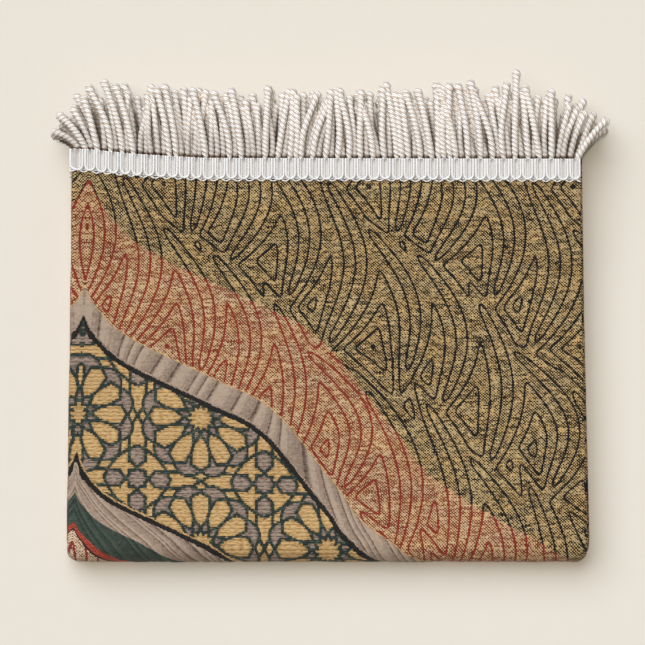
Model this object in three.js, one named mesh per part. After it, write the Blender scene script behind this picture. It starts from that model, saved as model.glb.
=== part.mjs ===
import * as THREE from "three";

// Chenille prayer rug, folded once along its length and twice across it. Both short ends lie
// together at the far edge, each with a braided tape and a row of twisted cord loops.
// Millimetres. +Z is up from the floor, +Y runs towards the fringe, +X to the cloth's long edges.

// Cloth and its layers
const clothThickness = 3.0;
const backGap = 0.6; // between the two backs inside the lengthwise fold
const plyGap = 0.6; // between one doubled ply and the next
const plyThickness = 2 * clothThickness + backGap;
const plyPitch = plyThickness + plyGap;
const legLength = 347; // from the centre of the lengthwise fold to the long edge
const foldRadius = (clothThickness + backGap) / 2; // middle of the cloth in the lengthwise fold
const innerLegShare = 1.004; // the inner leg shows a little past the outer one at the long edge

// Lengthwise places of the folds and ends, measured from the middle of the bundle
const endA = 135.0;
const endB = 132.0;
const bottomEdge = -139.6;
const topFoldEdge = 128.4;
const outerTurnRadius = 1.5 * plyPitch;
const innerTurnRadius = 0.5 * plyPitch;
const bottomTurnY = bottomEdge + outerTurnRadius + plyThickness / 2;
const topTurnY = topFoldEdge - innerTurnRadius - plyThickness / 2;
const bottomTurnZ = 2 * plyPitch - plyGap / 2;
const topTurnZ = plyPitch - plyGap / 2;

// Towards the fringe the two upper plies part to make room for the tapes between them.
const partingStart = 53;
const partingEnd = 111;
const plyLift = [0, 0, 2.1, 6.5]; // by level, the lowest ply first

// Braided tape on the face of the cloth along each end
const tapeWidth = 15.6;
const tapeThickness = 1.6;
const tapeGap = 0.3;

// Cord loops, drawn as one comb: each tooth stands for three neighbouring cords.
const teethPerLeg = 28;
const toothGap = 1.7;
const toothDrift = 1.3; // how far a slit strays from its even place
const combThickness = 3.2;
const combInner = -0.7; // inner face, from the middle of the cloth outwards
const combGap = 0.45; // between the edge of the cloth and the root of the cords
const spineWidth = 2.4;
const cordLength = 47;
const cordDroop = 11.5; // how far a tip sinks below its root

// Outline of the folded bundle in plan: left and right edges by distance from the bundle's middle
const outline = [
  { y: -139.6, left: -177.2, right: 176.9 },
  { y: -100, left: -177.0, right: 176.2 },
  { y: -40, left: -176.2, right: 174.6 },
  { y: 20, left: -175.0, right: 173.2 },
  { y: 80, left: -174.2, right: 172.2 },
  { y: 135, left: -173.8, right: 171.6 },
];

// The fringe end bows: near the lengthwise fold it runs further out than the rest.
const bowStart = 10;
const endBow = [
  { x: -3.3, rise: 7.0 },
  { x: 9, rise: 6.5 },
  { x: 40, rise: 3.4 },
  { x: 88, rise: 0.6 },
  { x: 174, rise: 0.4 },
  { x: 262, rise: 0.2 },
  { x: 347, rise: 0 },
];

// Corners of the near edge are drawn in where the folds crowd.
const cornerReach = 7;
const cornerPull = 3.2;

// How far each ply lies to one side of the stack, by its level
const plyShift = [-1.3, 1.2, -0.8, 0];

// Gentle swells of the bundle: share of its height, and the reach of each wave in plan
const crossSwell = { share: 0.014, reachX: 47, reachY: 58 };
const slantSwell = { share: 0.01, reachX: 83, reachY: 64 };

// Fanning of the cords at the two sides, by place on the leg: lean from straight out, in
// degrees, and the share of the cord's length that shows past the rug
const cordFan = [
  { x: -5, lean: -48, reach: 0.56 },
  { x: 2, lean: -32, reach: 0.64 },
  { x: 8, lean: -17, reach: 0.84 },
  { x: 18, lean: -7, reach: 0.97 },
  { x: 45, lean: -1, reach: 1 },
  { x: 300, lean: 0, reach: 1 },
  { x: 326, lean: 5, reach: 1 },
  { x: 337, lean: 15, reach: 0.94 },
  { x: 347, lean: 33, reach: 0.76 },
];

function lerp(a, b, t) {
  return a + (b - a) * t;
}

function smoothstep(low, high, value) {
  const t = Math.min(1, Math.max(0, (value - low) / (high - low)));
  return t * t * (3 - 2 * t);
}

// Value of one named column of a table at a place given by another column
function lookUp(table, keyColumn, valueColumn, key) {
  const rows = table.length;
  if (key <= table[0][keyColumn]) return table[0][valueColumn];
  for (let row = 1; row < rows; row++) {
    const before = table[row - 1];
    const after = table[row];
    if (key <= after[keyColumn]) {
      const t = (key - before[keyColumn]) / (after[keyColumn] - before[keyColumn]);
      return lerp(before[valueColumn], after[valueColumn], t);
    }
  }
  return table[rows - 1][valueColumn];
}

// Height of the middle of a ply above the floor
function plyHeight(level, y) {
  const flat = plyPitch * level + plyThickness / 2;
  return flat + plyLift[level] * smoothstep(partingStart, partingEnd, y);
}

// A station of the folded cloth: a point of the middle line in the YZ plane, the direction the
// upper side of the cloth faces there, and the sideways shift of the ply.
function plyStation(level, y, heading) {
  const step = 0.5;
  const slope = (plyHeight(level, y + step) - plyHeight(level, y - step)) / (2 * step);
  const length = Math.hypot(1, slope);
  const up = heading < 0 ? 1 : -1;
  return {
    y,
    z: plyHeight(level, y),
    ny: (-slope / length) * up,
    nz: (1 / length) * up,
    shift: plyShift[level],
  };
}

function turnStation(centreY, centreZ, radius, degrees, outward, shift) {
  const angle = THREE.MathUtils.degToRad(degrees);
  const c = Math.cos(angle);
  const s = Math.sin(angle);
  return {
    y: centreY + radius * c,
    z: centreZ + radius * s,
    ny: c * outward,
    nz: s * outward,
    shift,
  };
}

// Places along a ply where the cloth gets a row of corners, from the fringe to the near fold
const upperRows = [119.4, 110, 96, 82, 68, 53, -6, -68, -110];
const lowerRows = [107, 40, -35, -110];

// The whole middle line: end A, top ply, outer fold, lowest ply, far fold, second ply, inner
// fold, third ply, end B.
function clothStations() {
  const stations = [];
  const ply = (level, places, heading) => {
    for (const y of places) stations.push(plyStation(level, y, heading));
  };
  const turn = (y, z, radius, from, to, steps, levels) => {
    const outward = to > from ? 1 : -1;
    for (let k = 0; k <= steps; k++) {
      const t = k / steps;
      const shift = lerp(plyShift[levels[0]], plyShift[levels[1]], smoothstep(0, 1, t));
      stations.push(turnStation(y, z, radius, lerp(from, to, t), outward, shift));
    }
  };
  ply(3, [endA, ...upperRows], -1);
  turn(bottomTurnY, bottomTurnZ, outerTurnRadius, 90, 270, 9, [3, 0]);
  ply(0, [...lowerRows].reverse(), 1);
  turn(topTurnY, topTurnZ, innerTurnRadius, -90, 90, 6, [0, 1]);
  ply(1, lowerRows, -1);
  turn(bottomTurnY, bottomTurnZ, innerTurnRadius, 270, 90, 6, [1, 2]);
  ply(2, [...upperRows].reverse(), 1);
  ply(2, [endB], 1);
  return stations;
}

// Cross-section of the doubled cloth: place across the cloth from the lengthwise fold, positive
// on the leg that faces outwards, and a distance from the middle of the cloth to its face side.
function acrossFold(place, offset) {
  const arc = (Math.PI / 2) * foldRadius;
  if (Math.abs(place) < arc) {
    const angle = place / foldRadius;
    return {
      x: -(foldRadius + offset) * Math.cos(angle),
      n: (foldRadius + offset) * Math.sin(angle),
    };
  }
  const side = Math.sign(place);
  const run = Math.abs(place) - arc;
  return { x: side > 0 ? run : run * innerLegShare, n: side * (foldRadius + offset) };
}

function swellAt(x, y) {
  const waveX = Math.sin(x / crossSwell.reachX + 0.6);
  const waveY = Math.cos(y / crossSwell.reachY - 0.4);
  const slant = Math.sin(x / slantSwell.reachX - y / slantSwell.reachY);
  return 1 + crossSwell.share * waveX * waveY + slantSwell.share * slant;
}

// The bundle as it lies: outline, bow of the fringe end, drawn-in corners and gentle swells
function lieDown(x, y, z, shift) {
  const left = lookUp(outline, "y", "left", y);
  const right = lookUp(outline, "y", "right", y);
  const edge = foldRadius + clothThickness / 2;
  const planX = left + ((x + edge) / (legLength + edge)) * (right - left) + shift;
  const bow = lookUp(endBow, "x", "rise", x);
  const toEdge = Math.min(planX - left, right - planX);
  const crowd = 1 - smoothstep(-1, cornerReach, toEdge);
  const near = 1 - smoothstep(bottomEdge, bottomEdge + 30, y);
  const planY = y + bow * smoothstep(bowStart, endA, y) + cornerPull * crowd * near;
  return [planX, planY, z * swellAt(planX, planY)];
}

function place(station, across) {
  const y = station.y + across.n * station.ny;
  const z = station.z + across.n * station.nz;
  return lieDown(across.x, y, z, station.shift);
}

// A closed sheet over a grid of cells. Each filled cell has an upper and a lower face, and a
// wall wherever the next cell is empty.
function sheetSolid(columns, rows, isFilled, cornerAt) {
  const positions = [];
  const index = [];
  const known = new Map();
  const corner = (i, j, side) => {
    const key = (j * (columns + 1) + i) * 2 + side;
    if (!known.has(key)) {
      known.set(key, positions.length / 3);
      positions.push(...cornerAt(i, j, side));
    }
    return known.get(key);
  };
  const quad = (a, b, c, d) => index.push(a, b, c, a, c, d);
  const wall = (iA, jA, iB, jB) => {
    quad(corner(iA, jA, 0), corner(iB, jB, 0), corner(iB, jB, 1), corner(iA, jA, 1));
  };
  const filled = (i, j) => i >= 0 && j >= 0 && i < columns && j < rows && isFilled(i, j);
  for (let j = 0; j < rows; j++) {
    for (let i = 0; i < columns; i++) {
      if (!filled(i, j)) continue;
      quad(corner(i, j, 1), corner(i + 1, j, 1), corner(i + 1, j + 1, 1), corner(i, j + 1, 1));
      quad(corner(i, j, 0), corner(i, j + 1, 0), corner(i + 1, j + 1, 0), corner(i + 1, j, 0));
      if (!filled(i, j - 1)) wall(i, j, i + 1, j);
      if (!filled(i + 1, j)) wall(i + 1, j, i + 1, j + 1);
      if (!filled(i, j + 1)) wall(i + 1, j + 1, i, j + 1);
      if (!filled(i - 1, j)) wall(i, j + 1, i, j);
    }
  }
  const geometry = new THREE.BufferGeometry();
  geometry.setAttribute("position", new THREE.Float32BufferAttribute(positions, 3));
  geometry.setIndex(index);
  geometry.computeVertexNormals();
  return geometry;
}

// Places across the cloth, from the long edge of the outer leg round the fold to the inner leg
function acrossPlaces() {
  const arc = (Math.PI / 2) * foldRadius;
  const legPlaces = [legLength, 343.5, 339, 262, 174, 88, 40, 9, 4].map((x) => x + arc);
  const bend = [1, 0.5, 0, -0.5, -1].map((t) => t * arc);
  return [...legPlaces, ...bend, ...legPlaces.map((x) => -x).reverse()];
}

function rugGeometry() {
  const stations = clothStations();
  const places = acrossPlaces();
  return sheetSolid(
    places.length - 1,
    stations.length - 1,
    () => true,
    (i, j, side) => {
      const offset = side ? clothThickness / 2 : -clothThickness / 2;
      return place(stations[j], acrossFold(places[i], offset));
    },
  );
}

// The two fringed ends: the level of the ply, where its cloth stops, and which way it faces
const ends = {
  a: { level: 3, y: endA, facing: 1 },
  b: { level: 2, y: endB, facing: -1 },
};

function endStation(end, y) {
  return plyStation(end.level, y, -end.facing);
}

function tapeGeometry(end) {
  const places = acrossPlaces();
  const rows = [end.y, end.y - tapeWidth / 2, end.y - tapeWidth];
  const inner = clothThickness / 2 + tapeGap;
  return sheetSolid(
    places.length - 1,
    rows.length - 1,
    () => true,
    (i, j, side) => {
      const offset = side ? inner + tapeThickness : inner;
      const row = end.facing > 0 ? rows[j] : rows[rows.length - 1 - j];
      return place(endStation(end, row), acrossFold(places[i], offset));
    },
  );
}

// Pairs of places across the cloth between which a tooth stands, and the slits between them
function toothPlaces() {
  const arc = (Math.PI / 2) * foldRadius;
  const pitch = legLength / teethPerLeg;
  const slitAt = (k) => legLength - k * pitch + arc + toothDrift * Math.sin(k * 4.7);
  const places = [];
  for (let k = 0; k < teethPerLeg; k++) {
    const nextSlit = k + 1 < teethPerLeg ? slitAt(k + 1) : arc;
    places.push(slitAt(k), nextSlit + toothGap);
  }
  const turn = [0.55 * arc, -0.55 * arc];
  return [...places, ...turn, ...places.map((x) => -x).reverse()];
}

// Length of one tooth: uneven, as the loops hang
function toothLength(place, end) {
  const seed = place * 0.37 + end.level * 1.9;
  const uneven = 2.6 * Math.sin(seed * 3.1) + 1.7 * Math.sin(seed * 7.3 + 1);
  return cordLength + uneven;
}

// Rows of corners along a tooth, as shares of its length, and its width there
const toothRows = [
  { share: 0, width: 1 },
  { share: 0.45, width: 0.88 },
  { share: 0.78, width: 0.76 },
  { share: 1, width: 0.64 },
];

// One corner of the comb. Row 0 is the edge next to the tape, row 1 ends the spine, and the
// rows after it run out along the teeth, which lean, droop and narrow towards their tips.
function combCorner(end, places, i, j, side) {
  const offset = side ? combInner + combThickness : combInner;
  const first = i - (i % 2);
  const middle = acrossFold((places[first] + places[first + 1]) / 2, offset);
  const across = acrossFold(places[i], offset);
  const lean = THREE.MathUtils.degToRad(lookUp(cordFan, "x", "lean", middle.x));
  const reach = lookUp(cordFan, "x", "reach", middle.x);
  const row = toothRows[Math.max(0, j - 1)];
  const run = row.share * (toothLength(places[first], end) * reach - spineWidth);
  const root = end.y + combGap + (j === 0 ? 0 : spineWidth);
  const station = endStation(end, end.y);
  const x = middle.x + (across.x - middle.x) * row.width + run * Math.sin(lean);
  const y = root + run * Math.cos(lean);
  const z = station.z + across.n * station.nz - cordDroop * (run / cordLength) ** 2;
  return lieDown(x, y, z, station.shift);
}

function combGeometry(end) {
  const places = end.facing > 0 ? toothPlaces().reverse() : toothPlaces();
  return sheetSolid(
    places.length - 1,
    toothRows.length,
    (i, j) => j === 0 || i % 2 === 0,
    (i, j, side) => combCorner(end, places, i, j, side),
  );
}

function piece(name, geometry, color, roughness) {
  const material = new THREE.MeshStandardMaterial({ color, roughness, metalness: 0 });
  const mesh = new THREE.Mesh(geometry, material);
  mesh.name = name;
  return mesh;
}

const rug = new THREE.Group();
rug.name = "folded_prayer_rug";
rug.add(piece("rug", rugGeometry(), 0xa58a5e, 0.95));
rug.add(piece("fringe_tape_a", tapeGeometry(ends.a), 0xe9e7e4, 0.85));
rug.add(piece("fringe_cords_a", combGeometry(ends.a), 0xe8e1d6, 0.7));
rug.add(piece("fringe_tape_b", tapeGeometry(ends.b), 0xe5e2dc, 0.85));
rug.add(piece("fringe_cords_b", combGeometry(ends.b), 0xe1d9cc, 0.7));

// Stand the bundle on the floor, centred over the origin.
const box = new THREE.Box3().setFromObject(rug, true);
const centre = box.getCenter(new THREE.Vector3());
for (const mesh of rug.children) mesh.position.set(-centre.x, -centre.y, -box.min.z);

export default rug;
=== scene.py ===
import math

import bpy
import numpy as np
from bpy.props import FloatProperty, FloatVectorProperty, IntProperty, PointerProperty
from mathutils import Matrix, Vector


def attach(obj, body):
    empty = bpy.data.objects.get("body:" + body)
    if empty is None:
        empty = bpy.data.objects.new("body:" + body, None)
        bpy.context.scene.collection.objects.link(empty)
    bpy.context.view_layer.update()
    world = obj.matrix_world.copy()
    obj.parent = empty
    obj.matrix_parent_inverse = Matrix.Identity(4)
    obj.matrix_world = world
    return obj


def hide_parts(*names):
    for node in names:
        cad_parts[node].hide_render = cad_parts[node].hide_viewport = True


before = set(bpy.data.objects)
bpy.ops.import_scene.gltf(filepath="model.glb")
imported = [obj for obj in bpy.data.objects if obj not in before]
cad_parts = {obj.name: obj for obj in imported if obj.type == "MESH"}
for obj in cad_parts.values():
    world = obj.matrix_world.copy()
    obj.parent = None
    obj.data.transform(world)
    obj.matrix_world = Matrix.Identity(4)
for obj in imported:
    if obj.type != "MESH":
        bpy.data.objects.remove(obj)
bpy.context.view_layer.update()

bl_info = {
    "name": "Folded chenille prayer rug",
    "version": (1, 0, 0),
    "blender": (4, 5, 0),
    "location": "View3D > Sidebar > Prayer rug",
    "description": "Builds a folded chenille prayer rug with braided tapes and twisted cord fringes",
    "category": "Object",
}

MM = 0.001
TAU = 2 * math.pi

# The folded bundle, in millimetres, as its solid is folded
CLOTH_THICKNESS = 3.0
BACK_GAP = 0.6
PLY_GAP = 0.6
PLY_THICKNESS = 2 * CLOTH_THICKNESS + BACK_GAP
PLY_PITCH = PLY_THICKNESS + PLY_GAP
LEG_LENGTH = 347.0
FOLD_RADIUS = (CLOTH_THICKNESS + BACK_GAP) / 2
FOLD_ARC = math.pi / 2 * FOLD_RADIUS
INNER_LEG_SHARE = 1.004
END_A = 135.0
END_B = 132.0
BOTTOM_EDGE = -139.6
TOP_FOLD_EDGE = 128.4
OUTER_TURN_RADIUS = 1.5 * PLY_PITCH
INNER_TURN_RADIUS = 0.5 * PLY_PITCH
BOTTOM_TURN_Y = BOTTOM_EDGE + OUTER_TURN_RADIUS + PLY_THICKNESS / 2
TOP_TURN_Y = TOP_FOLD_EDGE - INNER_TURN_RADIUS - PLY_THICKNESS / 2
BOTTOM_TURN_Z = 2 * PLY_PITCH - PLY_GAP / 2
TOP_TURN_Z = PLY_PITCH - PLY_GAP / 2
PARTING = (53.0, 111.0)
PLY_LIFT = (0.0, 0.0, 2.1, 6.5)
PLY_SHIFT = (-1.3, 1.2, -0.8, 0.0)
BUNDLE_SHIFT = (3.4288, -25.2514)

OUTLINE = np.array([  # y, left edge, right edge
    (-139.6, -177.2, 176.9),
    (-100.0, -177.0, 176.2),
    (-40.0, -176.2, 174.6),
    (20.0, -175.0, 173.2),
    (80.0, -174.2, 172.2),
    (135.0, -173.8, 171.6),
])
END_BOW = np.array([  # place on the leg, rise of the fringed end
    (-3.3, 7.0),
    (9.0, 6.5),
    (40.0, 3.4),
    (88.0, 0.6),
    (174.0, 0.4),
    (262.0, 0.2),
    (347.0, 0.0),
])
BOW_START = 10.0
CORNER_REACH = 7.0
CORNER_PULL = 3.2

LOWEST = 0.03

# Tape and fringe
TAPE_WIDTH = 15.6
TAPE_GAP = 0.3
GIMP_RADIUS = 0.8  # threads of the tape: the bright loops, the chains, the warp, the edge
CHAIN_RADIUS = 0.55
WARP_RADIUS = 0.42
EDGE_RADIUS = 0.52
CHAIN_LINKS = 23
ENDS = {
    "a": {"level": 3, "y": END_A, "facing": 1},
    "b": {"level": 2, "y": END_B, "facing": -1},
}
PLIES = 3  # plies seen round one cord
LONG_CORD = 304.0  # place of the one cord that stands out beyond the rest
LONG_CORD_GAIN = 1.12
ROW_LENGTHS = (1.0, 0.95, 0.93, 0.9)  # of the four rows of cords, from the top
ROW_SHADES = (0.0, 0.3, 0.42, 0.5)  # how far each row lies in the shade of the others
ROW_OFFSET = 2.5  # height of a row above or below the middle of its ply
ROOT_INSET = 1.2  # how far the cords' roots lie under the tape's edge
CORD_DROOP = 9.5  # how far the tip of a top cord falls
LOWEST_CORD = 2.8
PLY_GROOVE = 0.26  # depth of the groove between plies, as a share of the cord's radius
TIP_SWELL = 0.34  # how much thicker a cord is at its tip
TIP_LENGTH = 2.6
CORD_FAN = np.array([  # place on the leg, lean in degrees, share of the length
    (0.0, -74.0, 0.55),
    (4.0, -56.0, 0.6),
    (8.0, -46.0, 0.66),
    (12.0, -36.0, 0.76),
    (16.0, -26.0, 0.88),
    (21.0, -15.0, 0.96),
    (27.0, -9.0, 1.0),
    (45.0, -6.0, 1.0),
    (90.0, -7.0, 1.0),
    (121.0, -5.0, 0.98),
    (140.0, 8.0, 0.95),
    (172.0, 9.0, 0.97),
    (190.0, -3.0, 1.0),
    (225.0, -6.0, 1.0),
    (262.0, -9.0, 1.04),
    (310.0, -8.0, 1.04),
    (322.0, -2.0, 1.0),
    (334.0, 9.0, 1.0),
    (340.0, 22.0, 0.9),
    (344.0, 42.0, 0.76),
    (348.0, 72.0, 0.56),
])

# The rug's middle line strays from the lengthwise fold: its place at the fringed end and its
# slope towards the fold. The woven pattern begins a little before the end of the cloth.
MIDDLE_LINE = (12.4, -0.034)
PATTERN_START = 4.8

# The woven borders are one ogee set at six sizes. Its points are in millimetres at size one:
# place from the rug's middle line, and depth below its tip.
OGEE = ((0, 0), (8, 14), (30, 34), (85, 61), (125, 83), (165, 133), (200, 170), (345, 250), (700, 440))
# Each border: its tip from the fringed end, its size, and how far its tip is drawn out
TERRACOTTA_EDGE = (24.0, 1.27, 0.0)
GOLD_EDGE = (92.0, 1.05, 0.0)
UPPER_BLACK = (112.0, 1.0, 0.0)
LOWER_BLACK = (212.0, 0.85, 8.0)
GREEN_EDGE = (236.0, 0.7, 0.0)
RED_EDGE = (256.0, 0.55, 0.0)
BLACK_LINE_WIDTH = 4.5
# Where each woven zone starts on the arch scale
ZONES = {
    "khaki": -60.0,
    "terracotta": 17.7,
    "gold_edge": 89.0,
    "taupe": 91.0,
    "upper_black": 111.0,
    "stars": 114.5,
    "lower_black": 200.0,
    "lower_taupe": 203.5,
    "green": 237.0,
    "red": 260.0,
    "fine_black": 267.0,
    "cream": 268.3,
}
ZONE_SPAN = 400.0

# Hearts of the wavy lines: bent strokes in staggered columns, laid out by rule. The lines run
# round each heart, close at its two tips and wide at its waist.
WAVE_REPEAT = 140.8
WAVE_COLUMNS = 4
WAVE_ROWS = 4
WAVE_ROW_PITCH = 104.0
WAVE_ORIGIN = (180.0, -30.0)
HEART_LENGTH = 100.0
HEART_BEND = 17.0
HEART_LEAN = 14.0
HEART_POINTS = 13
# Width of a lobe at its tips as a share of its waist, how slowly the lines follow one another
# past a tip, and the lines' distances: the first from its heart, the others from each other
WAVE_TIP = 0.56
WAVE_STRETCH = 0.48
WAVE_FIRST = 3.9
WAVE_PITCH = 8.0
FLAT_LENGTH = 1090.0

# Star field: place of one rosette, repeat, slope of its rows, size it is drawn to, and stitch
STAR_ORIGIN = (3.4, 181.0)
STAR_REPEAT = (86.0, 87.6)
STAR_TILT = 0.046
STAR_SIZE = 86.0
STAR_GRAIN = (0.7, 1.27)

# The light that falls from the upper left is cooler than the light from above
KEY_COLOUR = (0.823, 0.868, 0.951)
FILL_COLOUR = (1.0, 0.917, 0.765)
# Place of the middle of the view on the unshifted bundle, in millimetres
VIEW_MIDDLE_Y = 23.87
# The picture's width in pixels, one pixel in millimetres at the top of the bundle, and that
# top's height in metres
PICTURE_WIDTH = 645
PIXEL_SIZE = 0.68
VIEWED_HEIGHT = 0.03
FLOOR_REACH = 4000.0


def smoothstep(low, high, value):
    t = np.clip((np.asarray(value, float) - low) / (high - low), 0, 1)
    return t * t * (3 - 2 * t)


# Folded cloth


def ply_height(level, y):
    return PLY_PITCH * level + PLY_THICKNESS / 2 + PLY_LIFT[level] * smoothstep(*PARTING, y)


def ply_stations(level, y, heading):
    """Stations along one doubled ply: y, z, the way its face side turns, and its side shift."""
    y = np.asarray(y, float)
    slope = ply_height(level, y + 0.5) - ply_height(level, y - 0.5)
    length = np.hypot(1, slope)
    up = 1 if heading < 0 else -1
    shift = np.full(y.shape, PLY_SHIFT[level])
    return np.stack([y, ply_height(level, y), -slope / length * up, up / length, shift], -1)


def turn_stations(y, z, radius, start, stop, steps, levels):
    outward = 1 if stop > start else -1
    t = np.linspace(0, 1, steps + 1)[1:-1]
    angle = np.radians(start + (stop - start) * t)
    c, s = np.cos(angle), np.sin(angle)
    shift = PLY_SHIFT[levels[0]] + (PLY_SHIFT[levels[1]] - PLY_SHIFT[levels[0]]) * smoothstep(0, 1, t)
    return np.stack([y + radius * c, z + radius * s, c * outward, s * outward, shift], -1)


def cloth_stations(fine):
    """The middle line of the doubled cloth from the end on top to the end below it."""
    span = END_A - BOTTOM_TURN_Y
    top = np.linspace(END_A, BOTTOM_TURN_Y, int(span / fine) + 1)
    parts = [
        ply_stations(3, top, -1),
        turn_stations(BOTTOM_TURN_Y, BOTTOM_TURN_Z, OUTER_TURN_RADIUS, 90, 270, 24, (3, 0)),
        ply_stations(0, np.linspace(BOTTOM_TURN_Y, TOP_TURN_Y, 44), 1),
        turn_stations(TOP_TURN_Y, TOP_TURN_Z, INNER_TURN_RADIUS, -90, 90, 8, (0, 1)),
        ply_stations(1, np.linspace(TOP_TURN_Y, BOTTOM_TURN_Y, 14), -1),
        turn_stations(BOTTOM_TURN_Y, BOTTOM_TURN_Z, INNER_TURN_RADIUS, 270, 90, 8, (1, 2)),
        ply_stations(2, np.concatenate([np.linspace(BOTTOM_TURN_Y, 50, 8), np.linspace(58, END_B, 12)]), 1),
    ]
    rows = np.concatenate(parts)
    run = np.concatenate([[0], np.cumsum(np.hypot(np.diff(rows[:, 0]), np.diff(rows[:, 1])))])
    return rows, run


def across_fold(place, offset):
    """Place across the cloth to (x, distance from the ply's middle), at an offset from the
    middle of the cloth towards its face side."""
    place, offset = np.broadcast_arrays(np.asarray(place, float), np.asarray(offset, float))
    bend = np.abs(place) < FOLD_ARC
    angle = np.clip(place / FOLD_RADIUS, -math.pi / 2, math.pi / 2)
    run = np.abs(place) - FOLD_ARC
    side = np.sign(place)
    straight = np.where(side > 0, run, run * INNER_LEG_SHARE)
    x = np.where(bend, -(FOLD_RADIUS + offset) * np.cos(angle), straight)
    n = np.where(bend, (FOLD_RADIUS + offset) * np.sin(angle), side * (FOLD_RADIUS + offset))
    return x, n


def lie_down(x, y, z, shift):
    """Outline, bow of the fringed end, drawn-in corners and gentle swells of the bundle."""
    left = np.interp(y, OUTLINE[:, 0], OUTLINE[:, 1])
    right = np.interp(y, OUTLINE[:, 0], OUTLINE[:, 2])
    edge = FOLD_RADIUS + CLOTH_THICKNESS / 2
    plan_x = left + (x + edge) / (LEG_LENGTH + edge) * (right - left) + shift
    bow = np.interp(x, END_BOW[:, 0], END_BOW[:, 1])
    crowd = 1 - smoothstep(-1, CORNER_REACH, np.minimum(plan_x - left, right - plan_x))
    near = 1 - smoothstep(BOTTOM_EDGE, BOTTOM_EDGE + 30, y)
    plan_y = y + bow * smoothstep(BOW_START, END_A, y) + CORNER_PULL * crowd * near
    swell = 1 + 0.014 * np.sin(plan_x / 47 + 0.6) * np.cos(plan_y / 58 - 0.4)
    swell = swell + 0.01 * np.sin(plan_x / 83 - plan_y / 64)
    return np.stack([plan_x + BUNDLE_SHIFT[0], plan_y + BUNDLE_SHIFT[1], z * swell], -1)


def put_on_cloth(rows, place, offset):
    x, n = across_fold(place, offset)
    y = rows[..., 0] + n * rows[..., 2]
    z = rows[..., 1] + n * rows[..., 3]
    return lie_down(x, y, z, rows[..., 4])


# Woven borders and wavy lines


def round_line(points, steps=7):
    """A smooth line through a few points."""
    p = np.array(points, float)
    q = np.vstack([2 * p[0] - p[1], p, 2 * p[-1] - p[-2]])
    t = np.linspace(0, 1, steps, endpoint=False)[:, None]
    runs = []
    for a, b, c, d in zip(q[:-3], q[1:-2], q[2:-1], q[3:]):
        cubic = 2 * b + (c - a) * t + (2 * a - 5 * b + 4 * c - d) * t**2 + (3 * b - a - 3 * c + d) * t**3
        runs.append(cubic / 2)
    return np.vstack(runs + [p[-1:]])


def from_middle(place, down):
    """Place from the fold of a point mirrored, where needed, about the rug's middle line."""
    middle = MIDDLE_LINE[0] + MIDDLE_LINE[1] * down
    return middle + np.abs(place - middle)


def border(line, across):
    """Place of a woven border from the fringed end, at a place from the fold."""
    tip, size, spike = line
    from_tip = np.maximum(across - MIDDLE_LINE[0] - MIDDLE_LINE[1] * tip, 0)
    ogee = round_line(OGEE)
    depth = np.interp(from_tip / size, ogee[:, 0], ogee[:, 1])
    return tip + size * depth - spike * np.exp(-from_tip / 6)


def slant(line, across):
    """How much longer an upright cut through a border is than a square one."""
    return np.hypot(1, (border(line, across + 2) - border(line, across - 2)) / 4)


def arch_scale(across, down):
    """Places each woven border at a fixed number, so that a zone is a range of the scale."""
    gold = border(GOLD_EDGE, across)
    upper = border(UPPER_BLACK, across)
    lower = border(LOWER_BLACK, across)
    green = border(GREEN_EDGE, across)
    red = border(RED_EDGE, across)
    lines = [
        (border(TERRACOTTA_EDGE, across), ZONES["terracotta"]),
        (gold, ZONES["gold_edge"]),
        (gold + 1.7 * slant(GOLD_EDGE, across), ZONES["taupe"]),
        (upper, ZONES["upper_black"]),
        (upper + BLACK_LINE_WIDTH * slant(UPPER_BLACK, across), ZONES["stars"]),
        (lower, ZONES["lower_black"]),
        (lower + BLACK_LINE_WIDTH * slant(LOWER_BLACK, across), ZONES["lower_taupe"]),
        (np.maximum(green, lower + 5.5), ZONES["green"]),
        (red, ZONES["red"]),
        (red + 3.4, ZONES["fine_black"]),
        (red + 4.6, ZONES["cream"]),
    ]
    first_down, first_mark = lines[0]
    scale = first_mark + (down - first_down)
    for (low, low_mark), (high, high_mark) in zip(lines[:-1], lines[1:]):
        high = np.maximum(high, low + 0.4)
        share = (down - low) / (high - low)
        scale = np.where(down > low, low_mark + share * (high_mark - low_mark), scale)
    last_down, last_mark = lines[-1]
    return np.where(down > last_down, last_mark + (down - last_down), scale)


def pleat_scale(across, arch):
    """A number that grows by one from each pleat of the padded borders to the next."""
    lower = arch > ZONES["lower_black"]
    depth = np.where(lower, arch - ZONES["lower_taupe"], 0.85 * (arch - ZONES["taupe"]))
    lean = np.where(lower, -1.3, np.interp(across, (20, 50, 120, 170, 200), (0.1, 0.5, 0.45, -0.3, -1.2)))
    run = across + lean * depth
    return run / np.where(lower, 15.0, 10.5) + 0.3 * np.sin(run / 7.3) + 0.16 * np.sin(run / 3.9 + 1.3)


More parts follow.
